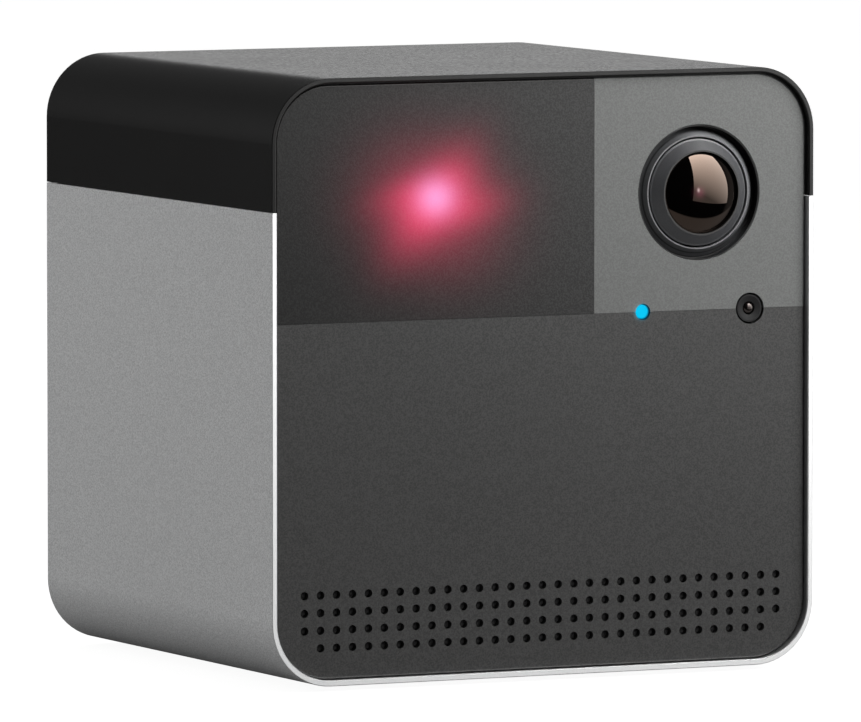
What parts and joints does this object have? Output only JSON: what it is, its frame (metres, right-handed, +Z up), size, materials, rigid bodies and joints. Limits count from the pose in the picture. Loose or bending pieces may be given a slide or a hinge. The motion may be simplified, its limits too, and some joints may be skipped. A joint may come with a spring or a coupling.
{
  "type": "laser pet camera",
  "caption": "Cube-shaped pet camera with a steerable laser toy behind a smoked window, a bulging lens and a perforated speaker plate in a recessed front.",
  "frame": {"origin": "centre of the rubber base pad's underside, where the camera rests on a shelf", "axes": "+Z up, the front with the lens and the laser window faces -Y, +X to the right seen from the front"},
  "size_m": [0.0914, 0.0835, 0.0922],
  "materials": {
    "silver": "bead-blasted anodised",
    "cover_black": "satin",
    "inner_black": "moulded",
    "front_plate": "fine satin texture",
    "smoked_window": "smoked, tinted",
    "panel_grey": "fine satin texture",
    "mesh_black": "woven",
    "rubber_black": "matte",
    "brass": "machined",
    "lens_black": "satin",
    "lens_glass": "coated",
    "clear_glass": "polished",
    "cyan_light": "lit diffuser",
    "board_green": "solder mask",
    "chip_black": "epoxy",
    "steel": "zinc plated",
    "motor_steel": "drawn can",
    "heat_sink": "extruded, anodised",
    "gear_white": "acetal",
    "bronze": "sintered",
    "cone_grey": "pressed",
    "magnet": "zinc plated",
    "ir_led": "clear epoxy",
    "button_black": "satin"
  },
  "bodies": {
    "housing": {"acoustic_mesh": "mesh_black", "antennas": "bronze", "base_pad": "rubber_black", "base_screws": "steel", "board_chips": "chip_black", "board_screws": "steel", "camera_board": "board_green", "camera_panel": "panel_grey", "carrier_screws": "steel", "chassis": "inner_black", "front_board": "board_green", "front_carrier": "inner_black", "gimbal_bracket": "inner_black", "gimbal_screws": "steel", "heat_sink": "heat_sink", "image_sensor": "chip_black", "ir_board": "board_green", "ir_leds": "ir_led", "laser_window": "smoked_window", "lens_barrel": "lens_black", "lens_dome": "lens_glass", "lens_elements": "clear_glass", "lens_mount": "inner_black", "lens_trim": "lens_black", "light_sensor_bezel": "lens_black", "light_sensor_lens": "ir_led", "lower_wrap": "silver", "main_board": "board_green", "microphones": "board_green", "pan_motor": "motor_steel", "pan_shaft": "steel", "rear_cover": "cover_black", "rear_screws": "steel", "speaker_chamber": "inner_black", "speaker_frame": "inner_black", "speaker_gasket": "rubber_black", "speaker_grille": "front_plate", "speaker_magnet": "magnet", "speaker_screws": "steel", "speaker_surround": "rubber_black", "status_light_pipe": "cyan_light", "top_cover": "cover_black", "tripod_insert": "brass", "usb_socket": "steel", "wifi_shield": "steel"},
    "pan_head": {"yoke": "inner_black", "pan_gear": "gear_white", "pan_bush": "bronze", "tilt_motor": "motor_steel", "tilt_bushes": "bronze"},
    "laser": {"laser_cradle": "inner_black", "tilt_sector": "gear_white", "laser_barrel": "brass", "laser_lens": "clear_glass", "laser_diode": "steel"},
    "pan_drive": {"pan_pinion": "brass"},
    "tilt_drive": {"tilt_pinion": "brass"},
    "button": {"reset_button": "button_black"},
    "ir_cut_slide": {"filter_slide": "inner_black"},
    "diaphragm": {"speaker_cone": "cone_grey"}
  },
  "joints": [
    {"name": "laser_pan", "type": "hinge", "parent": "housing", "child": "pan_head", "pos_m": [-0.01799, -0.0243, 0.07328], "axis": [0, 0, 1], "range_deg": [-40, 40]},
    {"name": "laser_tilt", "type": "hinge", "parent": "pan_head", "child": "laser", "pos_m": [-0.01799, -0.0243, 0.07328], "axis": [1, 0, 0], "range_deg": [-15, 35]},
    {"name": "pan_pinion_spin", "type": "hinge", "parent": "housing", "child": "pan_drive", "pos_m": [-0.01799, -0.0147, 0.058], "axis": [0, 0, 1], "range_deg": [-120, 120]},
    {"name": "tilt_pinion_spin", "type": "hinge", "parent": "pan_head", "child": "tilt_drive", "pos_m": [-0.00799, -0.0123, 0.07328], "axis": [1, 0, 0], "range_deg": [-140, 60]},
    {"name": "reset_press", "type": "slide", "parent": "housing", "child": "button", "axis": [0, -1, 0], "range_m": [0, 0.0005], "stiffness_N_per_m": 600},
    {"name": "ir_cut_shift", "type": "slide", "parent": "housing", "child": "ir_cut_slide", "axis": [1, 0, 0], "range_m": [0, 0.0068]},
    {"name": "diaphragm_stroke", "type": "slide", "parent": "housing", "child": "diaphragm", "axis": [0, -1, 0], "range_m": [-0.0005, 0.0005], "stiffness_N_per_m": 1200}
  ],
  "couplings": [
    {"joint": "pan_pinion_spin", "follows": "laser_pan", "ratio": -3},
    {"joint": "tilt_pinion_spin", "follows": "laser_tilt", "ratio": -4}
  ]
}
